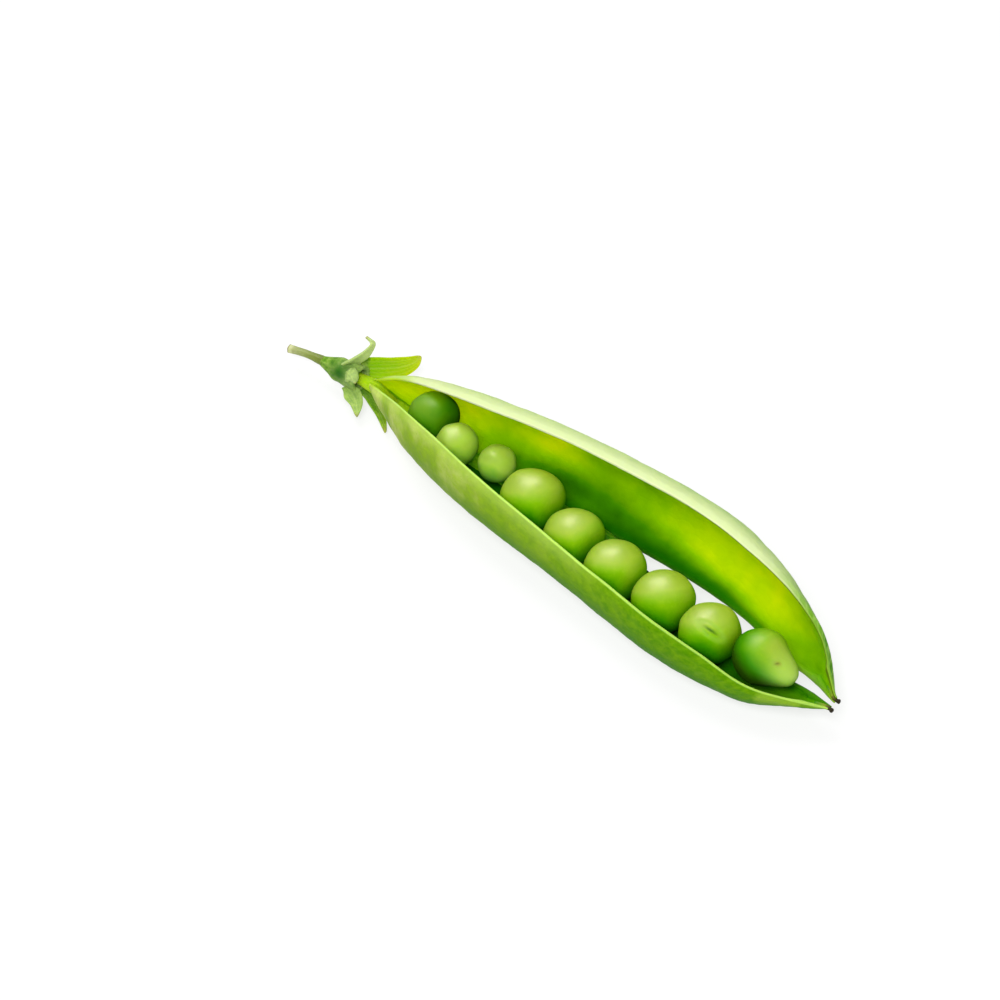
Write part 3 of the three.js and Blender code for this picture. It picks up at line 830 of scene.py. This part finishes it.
peaLook = {
    "cells": 40,
    "flatness": 5,  # how squarely they press on each other
    "longer": 1.5,  # how much longer a narrowing pea grows
    "swell": 0.04, "uneven": 0.05, "unevenSize": 6, "unevenSeed": 60,
    # painted light and shade: the skin is painted palest on the side facing the light, darker away from it
    "sunny": (-0.43, 0.24, 0.87), "even": 0.45, "contrast": 0.61,
    "tucked": 0.15, "tuckedFrom": 0.5,  # painted shade: darker green on the side against the near valve
    "tipward": 0.2, "tipwardFrom": 0.45,  # painted light: paler towards the tip
    "turned": {  # peas whose painted light falls from another way
        1: (-0.37, -0.45, 0.81), 2: (-0.45, -0.02, 0.9), 3: (-0.45, -0.02, 0.9), 9: (0.52, 0.1, 0.85),
    },
    # how much darker, and how much stronger the painted light and shade, on single peas
    "deeper": {1: 0.3, 2: -0.17, 3: -0.2, 9: 0.3}, "flatter": {1: 0.75, 2: 0.85, 3: 0.85, 9: 1.1},
    "gloss": {1: 0.3, 9: 0.45}, "glossFrom": (0.25, 0.75),
    "paleLight": {2: 0.2, 3: 0.26},  # painted light: the two small ones, in the shade of the near wall, are painted a paler green
    # painted light: the end of the ninth pea paler
    "paleLightTip": {9: 0.4}, "paleLightTipFrom": (0.3, 0.95),
    "dullShade": {1: (0.4, 0.1, (0.1, 0.8)), 9: (0.1, 0.35, (0, 0.75))},  # painted shade: duller all over, and more out of the light
    # painted light and shade: greens from the deepest shade to the palest light
    "skin": [
        (0.0, 0, 56, 0), (0.15, 26, 106, 0), (0.32, 56, 142, 0), (0.5, 98, 164, 0),
        (0.66, 130, 181, 10), (0.82, 160, 191, 48), (1.0, 148, 178, 30),
    ],
    "speckTint": tint(190, 216, 50), "over": {"paleLight": tint(190, 232, 112), "dullShade": tint(60, 94, 8)},
    "scarring": {  # how much of each tint
        "ring": (0.4, tint(150, 196, 70)), "scar": (0.9, tint(36, 104, 6)),
        "brown": (0.6, tint(150, 130, 50)),
    },
    "patch": (0.22, 3, 0.5), "fine": (2.2, 4, 0.6), "patchSwing": 0.35,
    "speckShows": (0.45, 0.75), "speckWhereLight": (0.3, 0.8, 0.0, 0.15),
    "roughness": 0.48, "roughSwing": 0.2,
    "fineBump": (0.25, 0.00006), "patchBump": (0.2, 0.0003),
}
scars = {  # pea: middle of the scar, which way it runs, half length, half width, browning
    8: ((0.354, -0.431, 0.83), (1, 0.2, -0.31), 0.46, 0.18, 0.0),
    9: ((0.627, -0.299, 0.719), (0.3, 0.7, 0.3), 0.17, 0.1, 0.8),
}
scarForm = {
    "ring": 0.1, "slit": 0.35, "lip": 0.04,  # how deep, or how high
    "slitLength": 0.5, "slitWidth": 0.24, "ringWidth": 0.35, "lipAt": 1.3, "lipWidth": 0.3, "brownWidth": 0.8,
}


def ballGrid(cells):  # an even grid of directions, from a cube's six faces
    edge = np.tan(np.linspace(-1, 1, cells + 1) * math.pi / 4)
    index, points, faces = {}, [], []
    for axis in range(3):
        for way in (-1, 1):
            ids = np.empty((cells + 1, cells + 1), int)
            for i, u in enumerate(edge):
                for j, v in enumerate(edge):
                    p = [0, 0, 0]
                    p[axis], p[(axis + 1) % 3], p[(axis + 2) % 3] = way, u, v
                    key = tuple(round(c, 6) for c in p)
                    if key not in index:
                        index[key] = len(points)
                        points.append(p)
                    ids[i, j] = index[key]
            for i in range(cells):
                for j in range(cells):
                    quad = (ids[i, j], ids[i + 1, j], ids[i + 1, j + 1], ids[i, j + 1])
                    faces.append(tuple(int(k) for k in (quad if way > 0 else quad[::-1])))
    return unit(np.array(points, float)), faces


def peaFinish():
    look = peaLook
    material, shader = newMaterial(
        "peaSkin", Subsurface_Weight=0.6, Subsurface_Radius=(0.7, 1.0, 0.1), Subsurface_Scale=0.0026,
        IOR=1.8, Specular_Tint=tint(255, 238, 220),
    )
    grain, shade, scar, ring, brown = map(mark, ("grain", "shade", "scar", "ring", "brown"))
    patch = cloud(grain, *look["patch"])
    fine = cloud(grain, *look["fine"])
    # the colour follows the painted light and shade
    colour = ramp(plus(shade, swing(patch, look["patchSwing"])), look["skin"])
    specks = times(span(fine, *look["speckShows"]), span(shade, *look["speckWhereLight"]))
    colour = blend(specks, colour, look["speckTint"])
    for label, over in look["over"].items():
        colour = blend(mark(label), colour, over)
    for label, value in (("ring", ring), ("scar", scar), ("brown", brown)):
        amount, over = look["scarring"][label]
        colour = blend(times(value, amount), colour, over)
    gloss = mark("gloss")
    rough = plus(look["roughness"], swing(fine, look["roughSwing"]))
    bump = bumped(fine, *look["fineBump"])
    bump = bumped(patch, *look["patchBump"], bump)
    feed(shader, Base_Color=colour, Roughness=rough, Specular_IOR_Level=gloss, Normal=bump)
    return material


def scarMarks(number, ball):  # the slit, the ring round it, its lip and how brown it is
    middle, run, longHalf, shortHalf, browning = scars[number]
    middle = unit(np.array(middle, float))
    run = np.array(run, float)
    run = unit(run - middle * (run @ middle))
    p, q, front = ball @ run, ball @ np.cross(middle, run), ball @ middle > 0
    away = np.hypot(p / longHalf, q / shortHalf)
    form = scarForm
    slit = bell(p, 0, longHalf * form["slitLength"]) * bell(q, 0, shortHalf * form["slitWidth"]) * front
    ring = bell(away, 1, form["ringWidth"]) * front
    lip = bell(away, form["lipAt"], form["lipWidth"]) * front
    return slit, ring, lip, browning * bell(away, 0, form["brownWidth"]) * front


def peaShade(number, ball):  # painted light and shade over one pea
    look = peaLook
    dx, dy, _ = ball.T
    facing = ball @ unit(np.array(look["turned"].get(number, look["sunny"])))
    shade = look["even"] - look["deeper"].get(number, 0)
    shade = shade + look["contrast"] * look["flatter"].get(number, 1) * facing
    shade = shade - look["tucked"] * ease(-dy, look["tuckedFrom"], 1)
    shade = shade + look["tipward"] * ease(dx, look["tipwardFrom"], 1)
    paleLight = look["paleLight"].get(number, 0)
    paleLight = paleLight + look["paleLightTip"].get(number, 0) * ease(dx, *look["paleLightTipFrom"])
    everywhere, shaded, (start, end) = look["dullShade"].get(number, (0, 0, (0, 1)))
    dullShade = everywhere + shaded * (1 - ease(facing, start, end))
    gloss = ease(facing, *look["glossFrom"]) * look["gloss"].get(number, 1)
    return {"shade": shade, "gloss": gloss, "paleLight": paleLight, "dullShade": dullShade}


def makePeas():
    look, finish = peaLook, peaFinish()
    ball, faces = ballGrid(look["cells"])
    dx, dy, dz = ball.T
    for number, (x, y, z, radius, toStem, toTip, narrowing) in enumerate(peas, 1):
        share, flatness = np.where(dx < 0, toStem, toTip), look["flatness"]
        press = np.maximum(share**-flatness - 1, 0)
        pressed = dx * np.maximum(share, 1) / (1 + press * np.abs(dx) ** flatness) ** (1 / flatness)
        waist = 1 - narrowing * ease(dx, 0, 0.9)
        longer = 1 + look["longer"] * narrowing * ease(dx, 0, 1)
        form = np.stack([pressed * longer, dy * waist, dz * waist], axis=1)
        seed = look["unevenSeed"] + number
        uneven = ripples(dx * 5 + number * 9, dy * 5 + dz * 4, seed, look["unevenSize"])
        size = radius + look["swell"] + look["uneven"] * uneven
        scar, ring, lip, brown = scarMarks(number, ball) if number in scars else [0 * dx] * 4
        size = size - scarForm["ring"] * ring - scarForm["slit"] * scar + scarForm["lip"] * lip
        points = form * size[:, None] + np.array([x, y, z])
        marks = peaShade(number, ball)
        marks.update({"scar": scar, "ring": ring, "brown": brown, "grain": ball * radius + number * 37})
        makePiece(f"pea{number}", points, faces, finish, (f"pea_{number}",), marks)


makePeas()


sepals = [  # path from the cup to the point, and which way the inner face looks
    {
        "name": "Top", "inner": (0.8, -0.5, -0.2),
        "path": [
            (-5.4, -1.3, 3.7), (-3.9, -0.75, 5.3), (-2.5, 0.2, 7.3), (-1.9, 1, 9.1), (-3.3, 1, 9.55),
        ],
        "width": 2.6, "root": 1.1, "blunt": 1, "fold": 0.3,
        "tone": 0.3, "paleLit": (0.45, 0.7), "deep": (0, 0),
    },
    {
        "name": "Back", "inner": (0.5, -0.8, 0.25),
        "path": [
            (-4.3, 0.3, 2.4), (-2.4, 2.2, 2.1), (-0.1, 4.4, 2.2), (1.5, 6.6, 2.65), (1.85, 8.3, 3.1),
        ],
        "width": 4.5, "root": 0.85, "blunt": 3.2, "fold": 0.2,
        "tone": 1, "paleLit": (0, 0), "deep": (0, 0),
    },
    {
        "name": "Curled", "inner": (0.2, 0.6, -0.8),
        "path": [(-4.6, -2.65, 3.15), (-3.6, -2.95, 3.7), (-2.5, -3.25, 3.7), (-1.8, -3.25, 3)],
        "width": 2.7, "root": 0.5, "blunt": 3, "fold": 0.2,
        "tone": 0.2, "paleLit": (0.25, 0.45), "deep": (0, 0),
    },
    {
        "name": "Front", "inner": (0.1, -0.3, 0.9),
        "path": [(-4.3, -3.15, 0.25), (-2.15, -3.75, 0.25), (-0.4, -4.6, 0.1), (1.2, -6.2, -0.5)],
        "width": 3.1, "root": 0.4, "blunt": 1.8, "fold": 0.25,
        "tone": 0.15, "paleLit": (0.2, 0.3), "deep": (0, 0),
    },
    {
        "name": "Under", "inner": (0.2, 0.35, 0.9),
        "path": [(-4, -1.6, -0.1), (-0.7, -1.5, -0.85), (2.8, -2.7, -1.3), (6.4, -4.9, -1.45)],
        "width": 3.1, "root": 0.8, "blunt": 1.4, "fold": 0.25,
        "tone": 0.5, "paleLit": (0, 0), "deep": (0.5, 0),
    },
]
sepalLook = {
    "thickness": 0.7, "margin": 0.26, "tipWidth": 0.14, "taper": 0.8,
    "steps": 90, "across": 26,
    "vein": 0.07, "middleVein": 0.16, "sideVeins": (-0.62, -0.33, 0.33, 0.62), "sideVein": 0.06,
    "wave": 0.09, "waves": 9, "crease": 0.05, "creaseSize": 4, "creaseSeed": 80,
}
leaf = {
    "rootTone": 0.1,  # as the cup, so that no edge shows where a lobe leaves it
    "patch": (0.9, 4, 0.6), "fine": (4.5, 3, 0.6),
    "sunnyFrom": (0.3, 0.9),  # the tone from which a lobe turns from leafy to sunny
    "sunnyAlong": 0.6, "sunnyPatch": 0.5, "glow": (0.1, 0.65),
    "leafy": [(0.3, 54, 108, 4), (0.5, 104, 148, 32), (0.72, 156, 184, 84)],
    # painted light: lobes lit through from behind are painted a brighter yellow-green, beside their
    # subsurface glow
    "sunny": [(0.1, 92, 150, 4), (0.5, 122, 162, 0), (0.9, 148, 164, 4)],
    "veinTint": tint(190, 212, 120), "veinAmount": 0.28,
    "fleckTint": tint(60, 116, 30), "fleckShows": (0.5, 0.75), "fleckAmount": 0.3,
    # painted light, paler grey-green, and painted shadow, deep green, over the lobes and the cup
    "over": {"paleLit": tint(204, 222, 148), "deep": tint(14, 88, 0)},
    "dryTint": tint(140, 128, 70), "dryFrom": 0.88, "dryAmount": 0.6,
    "roughness": 0.48, "roughFine": 0.15, "fineBump": (0.4, 0.00008), "patchBump": (0.35, 0.0002),
}


def calyxFinish():
    material, shader = newMaterial(
        "calyxLeaf", Subsurface_Radius=leafGlow, Subsurface_Scale=0.005,
        Specular_IOR_Level=0.15, Specular_Tint=tint(255, 255, 200),
    )
    grain, tone, vein, along = map(mark, ("grain", "tone", "vein", "along"))
    patch = cloud(grain, *leaf["patch"])
    fine = cloud(grain, *leaf["fine"])
    leafy = ramp(patch, leaf["leafy"])
    sunny = plus(times(along, leaf["sunnyAlong"]), times(patch, leaf["sunnyPatch"]))
    sunny = ramp(sunny, leaf["sunny"])
    colour = blend(span(tone, *leaf["sunnyFrom"]), leafy, sunny)
    glow = span(tone, *leaf["sunnyFrom"], *leaf["glow"])
    colour = blend(times(vein, leaf["veinAmount"]), colour, leaf["veinTint"])
    flecks = times(span(fine, *leaf["fleckShows"]), leaf["fleckAmount"])
    colour = blend(flecks, colour, leaf["fleckTint"])
    for label, over in leaf["over"].items():
        colour = blend(mark(label), colour, over)
    dry = times(span(along, leaf["dryFrom"], 1.0), leaf["dryAmount"])
    colour = blend(dry, colour, leaf["dryTint"])
    rough = plus(leaf["roughness"], times(fine, leaf["roughFine"]))
    bump = bumped(fine, *leaf["fineBump"])
    bump = bumped(patch, *leaf["patchBump"], bump)
    feed(shader, Base_Color=colour, Roughness=rough, Subsurface_Weight=glow, Normal=bump)
    return material


def makeSepal(sepal, finish):
    look = sepalLook
    steps, across = look["steps"], look["across"]
    line, ahead = curveThrough(sepal["path"], steps + 1)
    s = np.linspace(0, 1, steps + 1)
    inner = np.array(sepal["inner"], float)
    face = unit(inner - ahead * (ahead @ inner)[:, None])
    wide = np.cross(ahead, face)
    half = sepal["width"] / 2 * mix(sepal["root"], 1, ease(s, 0, 0.4))
    half = half * np.maximum(1 - s ** sepal["blunt"], 0) ** look["taper"] + look["tipWidth"]
    share = np.linspace(-1, 1, across + 1)
    half, v = half[:, None], share[None, :]
    seed = len(sepal["name"])  # each lobe waves in its own way
    veins = bell(v * half, 0, look["middleVein"])
    for offset in look["sideVeins"]:
        veins = veins + 0.5 * bell(v, offset, look["sideVein"]) * (half > 0.5)
    veins = np.clip(veins, 0, 1)
    wave = look["wave"] * np.sin(s * look["waves"] + seed)[:, None] * v**2 * np.clip(half, 0, 1)
    crease = ripples(s[:, None] * look["waves"], v * 2, look["creaseSeed"] + seed, look["creaseSize"])
    wave = wave + look["crease"] * crease
    margin = mix(look["margin"], 1, np.sqrt(np.clip(1 - np.abs(v) ** 3, 0, 1)))
    thick = look["thickness"] / 2 * margin * mix(1, 0.75, ease(s, 0.3, 1))[:, None]
    spine = (
        line[:, None]
        + wide[:, None] * (v * half)[..., None]
        + face[:, None] * (sepal["fold"] * half * v**2 + wave)[..., None]
    )
    top = spine + face[:, None] * (thick - 0.5 * look["vein"] * veins)[..., None]
    under = spine - face[:, None] * (thick + look["vein"] * veins - look["vein"])[..., None]
    loops = np.concatenate([top, under[:, ::-1]], axis=1)
    rows, count = loops.shape[:2]
    faces = loopFaces(rows, count)
    closeLoops(faces, rows, count, across + 1, count - 1)
    points = loops.reshape(-1, 3)
    points[:, 2] = restOn(points[:, 2])
    along = np.repeat(s, count)
    sideways = np.concatenate([share, share[::-1]])
    marks = {
        "along": along, "tone": mix(leaf["rootTone"], sepal["tone"], ease(along, 0.02, 0.22)),
        "paleLit": mix(*sepal["paleLit"], along), "deep": mix(*sepal["deep"], along),
        "vein": np.concatenate([veins, veins[:, ::-1]], axis=1).ravel(),
        "grain": np.stack([along * 9, np.tile(sideways, rows) * 2, 0 * along + seed * 11], axis=1),
    }
    makePiece("calyxSepal" + sepal["name"], points, faces, finish, (), marks)


def makeCup(finish):
    root, rim = np.array(cup["root"], float), np.array(cup["rim"], float)
    axis = unit(rim - root)
    length = np.linalg.norm(rim - root)
    side = unit(np.cross([0, 0, 1], axis))
    upward = np.cross(axis, side)
    skin = np.array(cup["skin"], float)
    lining = np.array(cup["lining"][::-1], float)
    floor = lining[0, 0]  # how far along the hollow ends
    s = np.linspace(0, 1, cup["steps"])
    r = np.interp(s, skin[:, 0], skin[:, 1])
    for _ in range(cup["smooth"]):  # round off the corners of the turned outline
        r[1:-1] = (r[:-2] + 2 * r[1:-1] + r[2:]) / 4
    rimTurn = np.linspace(0, math.pi, cup["rimSteps"])[1:-1]
    rimMiddle, rimHalf = (lining[-1, 1] + skin[-1, 1]) / 2, (skin[-1, 1] - lining[-1, 1]) / 2
    sBack = np.linspace(1, floor, cup["liningSteps"])
    rBack = np.interp(sBack, lining[:, 0], lining[:, 1])
    rimAt = 1 + 0.3 * rimHalf * np.sin(rimTurn) / length
    outline = np.concatenate([  # how far along, how wide, and 0 outside to 1 inside
        np.stack([s, r, 0 * s], axis=1),
        np.stack([rimAt, rimMiddle + rimHalf * np.cos(rimTurn), 0 * rimAt + 0.5], axis=1),
        np.stack([sBack, rBack, 0 * sBack + 1], axis=1),
    ])
    sides, rows = cup["sides"], len(outline)
    turn = np.linspace(0, 2 * math.pi, sides, endpoint=False)
    at, wide, outer = outline[:, :1], outline[:, 1:2], 1 - outline[:, 2:]

    def crests(turn):
        return np.abs(np.cos(cup["ribs"] / 2 * turn + cup["ribTurn"]))

    ribs = cup["rib"] * crests(turn) ** 6 + cup["fineRib"] * np.cos(cup["fineRibs"] * turn)
    dents = cup["dent"] * ripples(at * 9, turn[None, :] * 2.0, cup["dentSeed"], cup["dentSize"])
    radius = wide + (ribs - cup["sunk"] + dents * ease(at, 0.05, 0.3)) * outer
    centre = root + axis * (at * length)
    rings = ringsRound(centre, side, upward, radius, turn)
    points, faces = closeRings(rings, centre[:1], centre[-1:])
    along = np.concatenate([np.repeat(outline[:, 0], sides), [0, floor]])
    around = np.concatenate([np.tile(turn, rows), [0, 0]])
    shadowPatchAt, shadowPatchTurn = cup["shadowPatch"]
    # painted light: paler at the rim, and on the side away from the painted shadow
    amount, *where = cup["rimPale"]
    paleLit = amount * bell(along, *where)
    amount, *where = cup["backPale"]
    paleLit = paleLit + amount * bell(np.cos(around - shadowPatchTurn), -0.6, 0.5) * bell(along, *where)
    marks = {
        "along": along * 0.7, "tone": 0 * along + leaf["rootTone"],
        "vein": crests(around) ** 10 * 0.6,
        "paleLit": paleLit,
        # painted shadow: a dark patch on one side of the cup
        "deep": 0.95 * bell(along, shadowPatchAt, 0.27) * bell(np.sin((around - shadowPatchTurn) / 2), 0, 0.5),
        "grain": roundGrain(along, around, cup["grain"]),
    }
    makePiece("calyxCup", points, faces, finish, ("calyx",), marks)


def makeCalyx():
    finish = calyxFinish()
    makeCup(finish)
    for sepal in sepals:
        makeSepal(sepal, finish)


makeCalyx()


stem = {
    "end": (-17, -3.5, 0.6), "rise": 0.25, "seat": 0.1, "steps": 90, "sides": 40,
    "root": 0.85, "middle": 0.65, "tip": 0.72,
    "cut": [(0.02, 1), (0.1, 0.94), (0.12, 0.72), (0.06, 0.4)],  # how deep, and how wide: a hollow pith
    "cutTrim": 0.97, "cutFrom": 0.972, "grain": (7, 0.7, 0),
    "streak": (1.2, 4, 0.6, (0.6, 3.5, 1)), "patch": (1.0, 3, 0.5), "bump": (0.5, 0.0001),
    "byAlong": 0.8, "byPatch": 0.3, "streakShows": (0.45, 0.7), "streakAmount": 0.45,
    "paleLightFrom": (0.8, 0.88), "paleLightAmount": 0.6, "edgeFrom": (0.92, 0.95),
    "colours": [(0.1, 100, 116, 34), (0.4, 122, 136, 56), (0.75, 158, 166, 104), (1.0, 160, 160, 108)],
    "streakTint": tint(120, 132, 56), "paleLightTint": tint(212, 214, 160), "edgeTint": tint(122, 112, 44),
    "pithTint": tint(206, 200, 140),
}


def stemFinish():
    material, shader = newMaterial(
        "stemSkin", Roughness=0.5, Subsurface_Weight=0.15, Subsurface_Radius=(0.6, 1, 0.12),
        Subsurface_Scale=0.0008,
    )
    grain, along, cut = map(mark, ("grain", "along", "cut"))
    streak = cloud(grain, *stem["streak"])
    patch = cloud(grain, *stem["patch"])
    colour = plus(times(along, stem["byAlong"]), times(patch, stem["byPatch"]))
    colour = ramp(colour, stem["colours"])
    streaks = times(span(streak, *stem["streakShows"]), stem["streakAmount"])
    colour = blend(streaks, colour, stem["streakTint"])
    # painted highlight: a pale band near the cut end
    pale = times(span(along, *stem["paleLightFrom"]), stem["paleLightAmount"])
    colour = blend(pale, colour, stem["paleLightTint"])
    colour = blend(span(along, *stem["edgeFrom"]), colour, stem["edgeTint"])
    colour = blend(cut, colour, stem["pithTint"])
    feed(shader, Base_Color=colour, Normal=bumped(streak, *stem["bump"]))
    return material


def fiveCornered(turn, share):  # soft corners that wind a little, with fine ribs
    return 1 + 0.05 * np.cos(5 * turn + 2 * share) + 0.015 * np.cos(17 * turn)


def makeStem():
    root, rim, end = (np.array(p, float) for p in (cup["root"], cup["rim"], stem["end"]))
    start = root + unit(rim - root) * stem["seat"]
    bend = mix(root, end, 0.5) + np.array([0, 0, stem["rise"]])
    line, ahead = curveThrough([start, bend, end], stem["steps"])
    s = np.linspace(0, 1, stem["steps"])
    radius = mix(stem["root"], stem["middle"], ease(s, 0, 0.4))
    radius = radius + (stem["tip"] - stem["middle"]) * ease(s, 0.75, 1)
    cutEnd = np.array(stem["cut"])
    line = np.vstack([line, line[-1] - ahead[-1] * cutEnd[:, :1]])
    ahead = np.vstack([ahead] + [ahead[-1:]] * len(cutEnd))
    radius = np.concatenate([radius, radius[-1] * cutEnd[:, 1] * stem["cutTrim"]])
    points, faces, along, around = tube(line, ahead, radius, stem["sides"], fiveCornered)
    marks = {
        "along": along, "cut": (along > stem["cutFrom"]).astype(float),
        "grain": roundGrain(along, around, stem["grain"]),
    }
    makePiece("stemStalk", points, faces, stemFinish(), ("stem",), marks)


makeStem()
